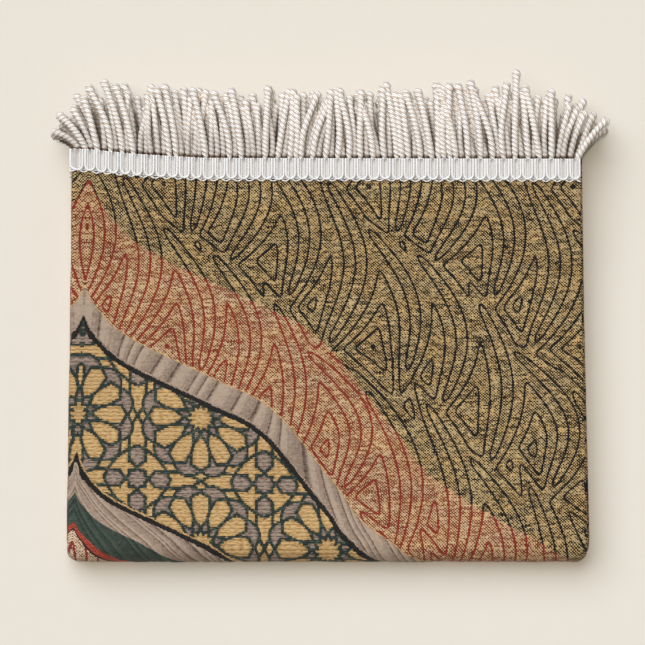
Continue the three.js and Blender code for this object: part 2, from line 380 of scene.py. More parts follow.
def heart_scale(across, down, line):
    """Distance from one heart, wider at its waist and drawn out past its tips."""
    ahead = np.diff(line, axis=0)
    lengths = np.hypot(ahead[:, 0], ahead[:, 1])
    starts = np.concatenate([[0], np.cumsum(lengths)])
    nearest = np.full(across.shape, 1e6)
    scale = np.full(across.shape, 1e6)
    last = len(lengths) - 1
    for k, length in enumerate(lengths):
        ux, uy = ahead[k] / length
        along = (across - line[k, 0]) * ux + (down - line[k, 1]) * uy
        beside = np.abs((down - line[k, 1]) * ux - (across - line[k, 0]) * uy)
        over = np.maximum(0, np.maximum(-along, along - length))
        away = np.hypot(beside, over)
        waist = np.sin(math.pi * (starts[k] + np.clip(along, 0, length)) / starts[-1]) ** 0.8
        past = (along < 0) & (k == 0) | (along > length) & (k == last)
        beyond = beside / WAVE_TIP + over * WAVE_STRETCH
        value = np.where(past, beyond, away / (WAVE_TIP + (1 - WAVE_TIP) * waist))
        take = away < nearest
        nearest = np.where(take, away, nearest)
        scale = np.where(take, value, scale)
    return scale


def wave_hearts():
    """Middle lines of the lobes within one repeat, each a bent stroke of its own length."""
    rng = np.random.default_rng(17)
    t = np.linspace(0, 1, HEART_POINTS)
    hearts = []
    for column in range(WAVE_COLUMNS):
        for row in range(WAVE_ROWS):
            aside, along, stretch, bow, tilt = rng.uniform(-1, 1, 5)
            x = WAVE_ORIGIN[0] + (column + 0.16 * aside) * WAVE_REPEAT / WAVE_COLUMNS
            y = WAVE_ORIGIN[1] + (row + column / WAVE_COLUMNS + 0.12 * along) * WAVE_ROW_PITCH
            bend = HEART_BEND * (1 + 0.4 * bow)
            lean = HEART_LEAN * (1 + tilt)
            length = HEART_LENGTH * (1 + 0.16 * stretch)
            bent = x + bend * np.sin(math.pi * t) + lean * (t - 0.5)
            hearts.append(np.stack([bent, y + length * (t - 0.5)], -1))
    return hearts


def wave_scale(across, down):
    """The least of the heart scales, worked out on a plain grid, softened and read off, with
    how fast it grows there."""
    step = 1.3
    columns, rows = np.arange(-8, 360, step), np.arange(-8, 300, step)
    grid_across, grid_down = np.meshgrid(columns, rows)
    field = np.full(grid_across.shape, 1e6)
    for line in wave_hearts():
        for repeat in range(-2, 2):
            moved = line + (repeat * WAVE_REPEAT, 0.0)
            if moved[:, 0].max() > columns[0] - 40 and moved[:, 0].min() < columns[-1] + 40:
                field = np.minimum(field, heart_scale(grid_across, grid_down, moved))
    for axis in (0, 1, 0, 1):
        field = (np.roll(field, 1, axis) + 2 * field + np.roll(field, -1, axis)) / 4
    growth = np.clip(np.hypot(*np.gradient(field, step)), 0.35, 2.4)
    x = np.clip((across - columns[0]) / step, 1, len(columns) - 3)
    y = np.clip((down - rows[0]) / step, 1, len(rows) - 3)
    i, j = x.astype(int), y.astype(int)
    x, y = x - i, y - j

    def read(grid):
        upper = grid[j, i] * (1 - x) + grid[j, i + 1] * x
        lower = grid[j + 1, i] * (1 - x) + grid[j + 1, i + 1] * x
        return upper * (1 - y) + lower * y

    return read(field), read(growth)


# Meshes


def new_piece(name, points, faces, material, smooth=True):
    """A mesh object from points in millimetres and a list of face arrays, each n by k."""
    mesh = bpy.data.meshes.new(name)
    faces = [f for f in faces if len(f)]
    loops = np.concatenate([f.ravel() for f in faces]).astype(np.int32)
    sizes = np.concatenate([np.full(len(f), f.shape[1]) for f in faces]).astype(np.int32)
    starts = np.concatenate([[0], np.cumsum(sizes)[:-1]]).astype(np.int32)
    mesh.vertices.add(len(points))
    mesh.vertices.foreach_set("co", (np.asarray(points, float) * MM).ravel().astype(np.float32))
    mesh.loops.add(len(loops))
    mesh.loops.foreach_set("vertex_index", loops)
    mesh.polygons.add(len(sizes))
    mesh.polygons.foreach_set("loop_start", starts)
    mesh.polygons.foreach_set("loop_total", sizes)
    mesh.polygons.foreach_set("use_smooth", np.full(len(sizes), smooth))
    mesh.update(calc_edges=True)
    mesh.validate()
    piece = bpy.data.objects.new(name, mesh)
    bpy.context.scene.collection.objects.link(piece)
    mesh.materials.append(material)
    return piece


def add_number(piece, name, values):
    """One number for each point of the mesh."""
    attribute = piece.data.attributes.new(name, "FLOAT", "POINT")
    attribute.data.foreach_set("value", np.asarray(values, np.float32).ravel())


def add_flat_map(piece, name, pairs):
    """A flat map given for each point, in metres."""
    mesh = piece.data
    layer = mesh.uv_layers.new(name=name)
    index = np.empty(len(mesh.loops), np.int32)
    mesh.loops.foreach_get("vertex_index", index)
    layer.data.foreach_set("uv", np.asarray(pairs, np.float32)[index].ravel())


def sweep_tubes(paths, radii, sides):
    """Tubes of equal numbers of points: paths is tubes by points by 3. Each ring starts at its
    lowest point. Returns points, quad and cap faces, and for each point its place along its
    tube and its turn away from the top, from 0 to 1."""
    tubes, count, _ = paths.shape
    ahead = np.gradient(paths, axis=1)
    ahead /= np.linalg.norm(ahead, axis=2, keepdims=True) + 1e-9
    upward = np.broadcast_to(np.array((0.0, 0.0, 1.0)), paths.shape)
    out = upward - ahead * np.sum(upward * ahead, axis=2, keepdims=True)
    out = out / (np.linalg.norm(out, axis=2, keepdims=True) + 1e-9)
    lift = np.cross(ahead, out)
    angle = np.linspace(-math.pi, math.pi, sides, endpoint=False)
    radii = np.broadcast_to(np.asarray(radii, float), (tubes, count))
    ring = np.cos(angle)[None, None, :, None] * out[:, :, None, :]
    ring = ring + np.sin(angle)[None, None, :, None] * lift[:, :, None, :]
    points = paths[:, :, None, :] + radii[:, :, None, None] * ring
    tube, row, spoke = np.meshgrid(np.arange(tubes), np.arange(count - 1), np.arange(sides), indexing="ij")
    base = tube * count * sides
    following = (spoke + 1) % sides
    quads = np.stack([
        base + row * sides + spoke,
        base + row * sides + following,
        base + (row + 1) * sides + following,
        base + (row + 1) * sides + spoke,
    ], -1).reshape(-1, 4)
    first = np.arange(tubes)[:, None] * count * sides
    caps = np.concatenate([first + np.arange(sides)[::-1], first + (count - 1) * sides + np.arange(sides)])
    step = np.linalg.norm(np.diff(paths, axis=1), axis=2)
    along = np.concatenate([np.zeros((tubes, 1)), np.cumsum(step, axis=1)], axis=1)
    marks = np.stack([
        np.broadcast_to(along[:, :, None], (tubes, count, sides)),
        np.broadcast_to(np.abs(angle)[None, None, :] / math.pi, (tubes, count, sides)),
    ], -1).reshape(-1, 2)
    return points.reshape(-1, 3), quads, caps, marks


class Heap:
    """Gathers tubes and sheets that make up one piece."""

    def __init__(self):
        self.points, self.faces, self.marks, self.shades, self.total = [], [], [], [], 0

    def add(self, points, faces, marks, shade):
        self.points.append(points)
        self.faces += [f + self.total for f in faces]
        self.marks.append(marks)
        self.shades.append(np.broadcast_to(np.asarray(shade, float), (len(points),)))
        self.total += len(points)

    def add_tubes(self, paths, radii, sides, shade=1.0):
        points, quads, caps, marks = sweep_tubes(paths, radii, sides)
        self.add(points, [quads, caps], marks, shade)

    def piece(self, name, material):
        made = new_piece(name, np.concatenate(self.points), self.faces, material)
        add_flat_map(made, "thread", np.concatenate(self.marks) * (MM, 1.0))
        add_number(made, "shade", np.concatenate(self.shades))
        return made


# Materials


class Term:
    """A number that varies over a surface, worked out by Math nodes."""

    tree = None

    def __init__(self, socket):
        self.socket = socket

    @classmethod
    def made(cls, operation, *values):
        node = cls.tree.nodes.new("ShaderNodeMath")
        node.operation = operation
        for slot, value in zip(node.inputs, values):
            if isinstance(value, Term):
                cls.tree.links.new(value.socket, slot)
            else:
                slot.default_value = value
        return cls(node.outputs[0])

    def __add__(self, other):
        return Term.made("ADD", self, other)

    __radd__ = __add__

    def __sub__(self, other):
        return Term.made("SUBTRACT", self, other)

    def __rsub__(self, other):
        return Term.made("SUBTRACT", other, self)

    def __mul__(self, other):
        return Term.made("MULTIPLY", self, other)

    __rmul__ = __mul__

    def __truediv__(self, other):
        return Term.made("DIVIDE", self, other)

    def __abs__(self):
        return Term.made("ABSOLUTE", self)

    def floor(self):
        return Term.made("FLOOR", self)

    def part(self):
        return Term.made("FRACT", self)

    def below(self, limit):
        return Term.made("LESS_THAN", self, limit)

    def above(self, limit):
        return Term.made("GREATER_THAN", self, limit)

    def sine(self):
        return Term.made("SINE", self)


def least(*terms):
    result = terms[0]
    for term in terms[1:]:
        result = Term.made("MINIMUM", result, term)
    return result


def most(*terms):
    result = terms[0]
    for term in terms[1:]:
        result = Term.made("MAXIMUM", result, term)
    return result


def ease(term, low, high):
    """0 below low, 1 above high, smooth between them."""
    node = Term.tree.nodes.new("ShaderNodeMapRange")
    node.interpolation_type = "SMOOTHSTEP"
    Term.tree.links.new(term.socket, node.inputs["Value"])
    node.inputs["From Min"].default_value = low
    node.inputs["From Max"].default_value = high
    return Term(node.outputs["Result"])


def pair(x, y):
    node = Term.tree.nodes.new("ShaderNodeCombineXYZ")
    for slot, value in zip(node.inputs, (x, y)):
        if isinstance(value, Term):
            Term.tree.links.new(value.socket, slot)
        else:
            slot.default_value = value
    return node.outputs["Vector"]


def cloud(x, y, detail=2.0):
    """Soft noise about a half."""
    node = Term.tree.nodes.new("ShaderNodeTexNoise")
    node.noise_dimensions = "2D"
    node.inputs["Scale"].default_value = 1.0
    node.inputs["Detail"].default_value = detail
    Term.tree.links.new(pair(x, y), node.inputs["Vector"])
    return Term(node.outputs["Fac"])


def chance(x, y):
    """An even random number for each whole pair."""
    node = Term.tree.nodes.new("ShaderNodeTexWhiteNoise")
    node.noise_dimensions = "2D"
    Term.tree.links.new(pair(x, y), node.inputs["Vector"])
    return Term(node.outputs["Value"])


def number(name):
    node = Term.tree.nodes.new("ShaderNodeAttribute")
    node.attribute_name = name
    return Term(node.outputs["Fac"])


def flat_map(name):
    node = Term.tree.nodes.new("ShaderNodeUVMap")
    node.uv_map = name
    parts = Term.tree.nodes.new("ShaderNodeSeparateXYZ")
    Term.tree.links.new(node.outputs["UV"], parts.inputs[0])
    return Term(parts.outputs[0]), Term(parts.outputs[1])


def ramp(term, stops, sharp=True):
    """Colour by number: stops is a list of (place from 0 to 1, colour)."""
    node = Term.tree.nodes.new("ShaderNodeValToRGB")
    band = node.color_ramp
    band.interpolation = "CONSTANT" if sharp else "LINEAR"
    while len(band.elements) > 1:
        band.elements.remove(band.elements[-1])
    band.elements[0].position, band.elements[0].color = stops[0][0], stops[0][1]
    for place, colour in stops[1:]:
        stop = band.elements.new(place)
        stop.color = colour
    Term.tree.links.new(term.socket, node.inputs["Fac"])
    return node.outputs["Color"], Term(node.outputs["Alpha"])


def colour_mix(share, first, second, kind="MIX"):
    node = Term.tree.nodes.new("ShaderNodeMix")
    node.data_type = "RGBA"
    node.blend_type = kind
    slots = [s for s in node.inputs if s.type == "RGBA"]
    if isinstance(share, Term):
        Term.tree.links.new(share.socket, node.inputs[0])
    else:
        node.inputs[0].default_value = share
    for slot, value in zip(slots, (first, second)):
        if isinstance(value, bpy.types.NodeSocket):
            Term.tree.links.new(value, slot)
        else:
            slot.default_value = tuple(value)[:3] + (1.0,)
    return [s for s in node.outputs if s.type == "RGBA"][0]


def new_material(name):
    material = bpy.data.materials.new(name)
    material.use_nodes = True
    tree = material.node_tree
    Term.tree = tree
    shader = tree.nodes["Principled BSDF"]
    return material, tree, shader


def add_bump(shader, height, depth, strength=1.0):
    bump = Term.tree.nodes.new("ShaderNodeBump")
    bump.inputs["Strength"].default_value = strength
    bump.inputs["Distance"].default_value = depth
    Term.tree.links.new(height.socket, bump.inputs["Height"])
    Term.tree.links.new(bump.outputs["Normal"], shader.inputs["Normal"])


def rosette_terms(x, y):
    """Signed distances, in millimetres, from the lines of one rosette about the origin:
    the star, the petals and the ring that holds them."""
    core, petal_half, petal_tip, ring_radius, scallop = 11.2, 6.3, 35.8, 36.4, 4.3
    angle = Term.made("ARCTAN2", y, x)
    radius = Term.made("SQRT", x * x + y * y)
    twelfth = math.pi / 6
    turned = Term.made("PINGPONG", angle, twelfth / 2)
    p = radius * Term.made("COSINE", turned)
    q = radius * turned.sine()
    star = (p - core) * 0.4286 + q * 0.904
    ray = q * 0.9659 - p * 0.2588
    petal_end = (p - petal_tip) * 0.856 + q * 0.516
    petal = most((q * 0.799) - (p - core) * 0.6, q - petal_half, petal_end, ray)
    ring = radius - ring_radius - (turned * 6.0).sine() * scallop
    return star, petal, ring


def cluster_terms(x, y):
    """Distances from the small star and its crossing lines midway between four rosettes."""
    u = most(abs(x), abs(y))
    v = least(abs(x), abs(y))
    heart = least(u - 5.4, (u + v - 7.8) * 0.7071)
    hexagon = most(v * 0.621 - (u - 7.8) * 0.784, v - 5.5, (u - 22.5) * 0.925 + v * 0.38)
    slanted = most(abs((u - 20.2) * 0.805 + (v - 5.6) * 0.594), 5.6 - v)
    straight = most(abs(v - 5.5), 12.0 - u, u - 34.0)
    closing = most(abs((u - 43.0) * 0.528 + v * 0.849), v - 5.8)
    return heart, hexagon, least(slanted, straight, closing)


def cloth_material(colours, weave):
    """Woven cloth: two-colour twill grounds, wavy lines, borders and the star field."""
    material, tree, shader = new_material("woven_cloth")
    u, v = flat_map("cloth")
    across, down = u * 1000.0, v * 1000.0
    arch, wave, growth, pleat = number("arch"), number("wave"), number("growth"), number("pleat")

    # Lattice of stitches, slanting to the right as the rows go down
    row = (down / weave.weft_pitch).floor()
    place = across / weave.warp_pitch - row * weave.twill_step
    stitch = place.floor()
    luck = chance(stitch, row)
    clouds = cloud(across / 17.0, down / 11.0, 3.0)
    slubs = cloud(across / 9.0, row * 3.7, 1.0)
    strand = abs(place.part() - 0.5) * 2.0
    lightness = strand + (luck - 0.5) * weave.unevenness + (clouds - 0.5) * 0.4
    lightness = lightness + (chance(row, (across / 22.0).floor()) - 0.5) * 0.14
    lightness = lightness + ease(slubs, 0.6, 0.72) * 0.4 - ease(slubs, 0.42, 0.3) * 0.2
    light = ease(lightness, weave.balance - 0.1, weave.balance + 0.1)

    # Grounds by zone: dark yarn, light yarn, and the wavy line where there is one
    zones = {
        "khaki": (colours.khaki_dark, colours.khaki_light, colours.black),
        "terracotta": (colours.terracotta_dark, colours.terracotta_light, colours.red_line),
        "gold_edge": (colours.gold_dark, colours.gold_light, None),
        "taupe": (colours.taupe_dark, colours.taupe_yarn_and_crest_light, None),
        "upper_black": (colours.black, colours.black_fleck, None),
        "stars": (colours.gold_dark, colours.gold_light, None),
        "lower_black": (colours.black, colours.black_fleck, None),
        "lower_taupe": (colours.taupe_dark, colours.taupe_yarn_and_crest_light, None),
        "green": (colours.green_dark, colours.green_fleck_and_swell_light, None),
        "red": (colours.red_dark, colours.red_light, None),
        "fine_black": (colours.black, colours.black_fleck, None),
        "cream": (colours.cream_dark, colours.cream_light, colours.red_line),
    }
    worn_edge = arch + (luck - 0.5) * 0.7
    on_scale = (worn_edge - ZONES["khaki"]) / ZONE_SPAN
    starts = {name: (ZONES[name] - ZONES["khaki"]) / ZONE_SPAN for name in zones}
    dark_ground, _ = ramp(on_scale, [(starts[n], (*zones[n][0], 1.0)) for n in zones])
    light_ground, _ = ramp(on_scale, [(starts[n], (*zones[n][1], 1.0)) for n in zones])
    lines_of = [(starts[n], (*(zones[n][2] or (0, 0, 0)), 1.0 if zones[n][2] else 0.0)) for n in zones]
    line_colour, has_line = ramp(on_scale, lines_of)
    ground = colour_mix(light, dark_ground, light_ground)

    # Wavy lines, broken into stitches
    from_line = abs(((wave - WAVE_FIRST) / WAVE_PITCH + 0.5).part() - 0.5) * WAVE_PITCH / growth
    width = weave.line_width / 2
    thread = ease(from_line + (luck - 0.5) * 0.5 + (strand - 0.5) * 0.95, width + 0.22, width - 0.22)
    ground = colour_mix(thread * has_line, ground, line_colour)

    # Pleats of the padded borders, painted in light and shade: a sharp groove of painted shade, then a swell
    # of painted light that fades to the next
    within = pleat.part()
    swell = ease(within, 0.04, 0.24) * (1.0 - ease(within, 0.35, 1.0) * 0.55)
    swell = swell * (1.0 - ease(abs(within - 0.62), 0.05, 0.0) * 0.3)
    satin = (luck - 0.5) * 0.26 + (cloud(across / 1.4, down / 3.2, 2.0) - 0.5) * 0.5
    # Lit and shaded copies of the taupe: painted shade in the groove, painted light on the crest
    taupe_tones = [
        (0.0, (*colours.taupe_groove_shade, 1.0)),
        (0.34, (*colours.taupe_dark, 1.0)),
        (0.95, (*colours.taupe_yarn_and_crest_light, 1.0)),
    ]
    painted_taupe_pleats, _ = ramp(swell * 0.82 + satin + 0.1, taupe_tones, sharp=False)
    # Green pleats: painted shade in the grooves and painted light on the swells
    painted_green_pleats = colour_mix(ease(swell + satin * 1.4, 0.1, 1.3), colours.green_dark, colours.green_fleck_and_swell_light)
    in_upper = arch.above(ZONES["taupe"]) * worn_edge.below(ZONES["upper_black"])
    in_lower = worn_edge.above(ZONES["lower_taupe"]) * worn_edge.below(ZONES["green"])
    in_green = worn_edge.above(ZONES["green"]) * worn_edge.below(ZONES["red"])
    ground = colour_mix(most(in_upper, in_lower), ground, painted_taupe_pleats)
    ground = colour_mix(in_green, ground, painted_green_pleats)

    # Star field on small square stitches
    grain_x = ((across / STAR_GRAIN[0]).floor() + 0.5) * STAR_GRAIN[0]
    grain_y = ((down / STAR_GRAIN[1]).floor() + 0.5) * STAR_GRAIN[1]
    field_x = (grain_x - STAR_ORIGIN[0]) / STAR_REPEAT[0]
    field_y = (grain_y - STAR_ORIGIN[1] - (grain_x - STAR_ORIGIN[0]) * STAR_TILT) / STAR_REPEAT[1]
    home_x = ((field_x + 0.5).part() - 0.5) * STAR_SIZE
    home_y = ((field_y + 0.5).part() - 0.5) * STAR_SIZE
    star, petal, ring = rosette_terms(home_x, home_y)
    between_x = (field_x.part() - 0.5) * STAR_SIZE
    between_y = (field_y.part() - 0.5) * STAR_SIZE
    heart, hexagon, crossing = cluster_terms(between_x, between_y)
    inside = ring.below(0.0)
    ring_lines = least(abs(star), abs(petal), abs(ring))
    cluster_lines = least(abs(heart), abs(hexagon), crossing)
    lines = least(ring_lines + (1.0 - inside) * 60.0 * ring.above(1.2), cluster_lines + inside * 60.0)
    outline = ease(lines + (luck - 0.5) * 0.35, 1.2, 0.95)
    gold_inside = inside * most(star.below(0.0), petal.below(0.0))
    is_gold = gold_inside + (1.0 - inside) * least(heart, hexagon).above(0.0)
    streak = cloud(across / 3.2, down / 0.8, 2.0)
    rib = (down / 2.7).part()
    rib_height = ease(abs(rib - 0.5) * 2.0, 1.0, 0.35)
    # Chenille streaks, with painted light on the rib crests and painted shade beside the outlines
    streaks_and_painted_light = ease(streak + rib_height * 0.16 - 0.04 - ease(lines, 3.2, 1.2) * 0.1, 0.32, 0.72)
    gold = colour_mix(streaks_and_painted_light, colours.gold_dark, colours.gold_light)
    mauve = colour_mix(streaks_and_painted_light, colours.mauve_dark, colours.mauve_light)
    stars = colour_mix(is_gold, mauve, gold)
    leaf = colour_mix(ease(luck, 0.62, 0.9), colours.green_dark, colours.green_fleck_and_swell_light)
    stars = colour_mix(outline, stars, leaf)
    in_stars = worn_edge.above(ZONES["stars"]) * worn_edge.below(ZONES["lower_black"])
    colour = colour_mix(in_stars, ground, stars)

    # The grounds are golden in some patches and greyer in others
    patches = ease(cloud(across / 24.0 + 7.0, down / 11.0, 3.0), 0.36, 0.64)
    tint = colour_mix(patches, (0.93, 1.0, 1.0), (1.0, 0.91, 0.70))
    on_ground = arch.below(ZONES["gold_edge"]) * (1.0 - thread)
    colour = colour_mix(on_ground * 0.5, colour, tint, "MULTIPLY")

    # Large soft differences of tone
    tone = cloud(across / 60.0 + 3.0, down / 60.0, 2.0)
    colour = colour_mix(ease(tone, 0.25, 0.8) * 0.16, colour, (1.0, 0.93, 0.78), "SOFT_LIGHT")
    tree.links.new(colour, shader.inputs["Base Color"])
    shader.inputs["Roughness"].default_value = 0.92
    shader.inputs["Sheen Weight"].default_value = 0.08
    shader.inputs["Sheen Roughness"].default_value = 0.5
    shader.inputs["Specular IOR Level"].default_value = 0.2
    woven = strand * 0.6 - ease(from_line, 1.5, 0.0) * has_line * 0.9
    chenille = rib_height * 0.8 + outline * 0.9
    add_bump(shader, woven * (1.0 - in_stars) + chenille * in_stars, 0.0004, 0.8)
    return material


def thread_material(name, colours, pitch, edged):
    """Glossy thread, darkened with painted shade where its shade number is low. On a cord's strand the two
    shoulders carry a white painted highlight, the crest is warmer, and the groove between plies is painted
    in shade.
    """
    material, tree, shader = new_material(name)
    along, turn = flat_map("thread")
    shade = number("shade")
    fibres = ((turn * 5.0) + along * (1000.0 / pitch)).part()
    fibre = abs(fibres - 0.5) * 2.0
    speck = cloud(along * 900.0, turn * 7.0, 2.0)
    mottle = (fibre - 0.5) * 0.14 + (speck - 0.5) * 0.2
    if edged:
        # Painted shade in the groove between plies
        groove = ease(turn + mottle * 0.4, 0.84, 1.02)
        # Painted highlight: the shoulders of each ply are painted white
        bright = ease(ease(turn, 0.2, 0.6) + mottle * 0.7, 0.26, 0.7)
        body = colour_mix(bright, colours.cord_crest, colours.cord_edge_highlight)
        body = colour_mix(groove, body, colours.cord_painted_shade)
        # Painted shade where the cord's shade number is low: under other cords and near the roots
        colour = colour_mix(ease(shade + mottle * 0.5, 0.0, 0.95), colours.cord_painted_shade, body)
    else:
        # Painted shade on the tape's ground strip and warp, set by their shade numbers
        colour = colour_mix(ease(shade + mottle, 0.05, 0.8), colours.tape_painted_shade, colours.tape_light)
    tree.links.new(colour, shader.inputs["Base Color"])
    shader.inputs["Roughness"].default_value = 0.42
    shader.inputs["Specular IOR Level"].default_value = 0.5
    shader.inputs["Sheen Weight"].default_value = 0.15
    shader.inputs["Sheen Roughness"].default_value = 0.4
    add_bump(shader, fibre, 0.00012, 0.5)
    return material


# Settings


def colour_property(name, description, default):
    kind = {"size": 3, "min": 0.0, "max": 1.0, "subtype": "COLOR"}
    return FloatVectorProperty(name=name, description=description, default=default, **kind)


def size_property(name, description, default, low, high):
    return FloatProperty(name=name, description=description, default=default, min=low, max=high)


def count_property(name, description, default, low, high):
    return IntProperty(name=name, description=description, default=default, min=low, max=high)


class RugColours(bpy.types.PropertyGroup):
    khaki_dark: colour_property("Khaki, dark", "Dark yarn of the khaki ground", (0.007, 0.005, 0.003))
    khaki_light: colour_property("Khaki, light", "Light yarn of the khaki ground", (0.535, 0.368, 0.178))
    terracotta_dark: colour_property("Terracotta, dark", "Red yarn of that ground", (0.16, 0.03, 0.012))
    terracotta_light: colour_property("Terracotta, light", "Cream yarn of that ground", (0.58, 0.405, 0.235))
    gold_dark: colour_property("Gold, dark", "Shaded gold chenille", (0.31, 0.175, 0.06))
    gold_light: colour_property("Gold, light", "Lit gold chenille", (0.58, 0.385, 0.18))
    # Painted shade in the grooves between the taupe pleats
    taupe_groove_shade: colour_property("Taupe, deep", "Grooves between the taupe pleats", (0.075, 0.05, 0.036))
    taupe_dark: colour_property("Taupe, dark", "Shaded sides of the taupe pleats", (0.22, 0.155, 0.118))
    # Light yarn of the taupe twill, and painted light on the crests of the taupe pleats
    taupe_yarn_and_crest_light: colour_property("Taupe, light", "Crests of the taupe pleats", (0.42, 0.318, 0.243))
    mauve_dark: colour_property("Mauve, dark", "Shaded mauve chenille", (0.12, 0.083, 0.066))
    mauve_light: colour_property("Mauve, light", "Lit mauve chenille", (0.33, 0.25, 0.20))
    green_dark: colour_property("Green, dark", "Dark green yarn", (0.022, 0.032, 0.027))
    # Flecks in the green yarn, and painted light on the swells of the green pleats
    green_fleck_and_swell_light: colour_property("Green, light", "Flecks in the green yarn", (0.058, 0.078, 0.06))
    red_dark: colour_property("Red, dark", "Dark side of the red stripe", (0.22, 0.03, 0.02))
    red_light: colour_property("Red, light", "Light side of the red stripe", (0.42, 0.07, 0.04))
    red_line: colour_property("Red line", "Wavy lines on terracotta and cream", (0.21, 0.026, 0.014))
    cream_dark: colour_property("Cream, dark", "Warm yarn of the cream ground", (0.26, 0.12, 0.07))
    cream_light: colour_property("Cream, light", "Light yarn of the cream ground", (0.66, 0.52, 0.38))
    black: colour_property("Black", "Black yarn", (0.009, 0.009, 0.009))
    black_fleck: colour_property("Black, flecks", "Lit black yarn", (0.022, 0.021, 0.019))
    # Painted highlight on the edges of each ply
    cord_edge_highlight: colour_property("Cord, edges", "Bright edges of each ply", (1.0, 0.99, 0.97))
    cord_crest: colour_property("Cord, crests", "Crest of each ply", (0.62, 0.49, 0.38))
    # Painted shade in the gaps between cords, in the grooves between plies and on cords that lie under
    # others
    cord_painted_shade: colour_property("Cord, deep", "Deepest gaps between cords", (0.12, 0.066, 0.03))
    tape_light: colour_property("Tape, threads", "Bright threads of the tape", (0.86, 0.85, 0.84))
    # Painted shade in the gaps between the threads of the tape
    tape_painted_shade: colour_property("Tape, gaps", "Gaps between the threads of the tape", (0.26, 0.215, 0.18))
    floor: colour_property("Floor", "Plain floor", (0.75, 0.70, 0.62))


class RugWeave(bpy.types.PropertyGroup):
    warp_pitch: size_property("Warp pitch", "Width of one stitch in millimetres", 2.05, 0.5, 4)
    weft_pitch: size_property("Weft pitch", "Height of one stitch in millimetres", 0.95, 0.3, 4)
    twill_step: size_property("Twill step", "Shift of each row, in stitches", 0.46, 0, 1)
    unevenness: size_property("Unevenness", "How much the stitches differ", 0.7, 0, 2)
    balance: size_property("Balance", "Share of dark yarn", 0.52, 0, 1)
    line_width: size_property("Line width", "Width of a wavy line in millimetres", 1.9, 0.3, 3)


class FringeSizes(bpy.types.PropertyGroup):
    cord_length: size_property("Cord length", "Length of a cord loop in millimetres", 47, 10, 120)
    cord_radius: size_property("Cord radius", "Radius of a cord in millimetres", 2.35, 0.6, 6)
    twist_pitch: size_property("Twist pitch", "Length of one turn in millimetres", 9.6, 3, 60)
    cords_per_leg: count_property("Cords per leg", "Cord loops on half the width", 84, 4, 200)
    tape_units: count_property("Tape units", "Braid repeats on half the width", 43, 4, 200)


class StageSettings(bpy.types.PropertyGroup):
    key_strength: size_property("Key light", "Soft light from the upper left", 3.05, 0, 20)
    fill_strength: size_property("Overhead light", "Soft light from above", 1.0, 0, 20)
    room_strength: size_property("Room light", "Even light of the room", 0.12, 0, 5)
    camera_height: FloatProperty(
        name="Camera height",
        description="Height of the camera",
        default=3.2,
        min=0.5,
        max=20,
        unit="LENGTH",
    )


# Operators


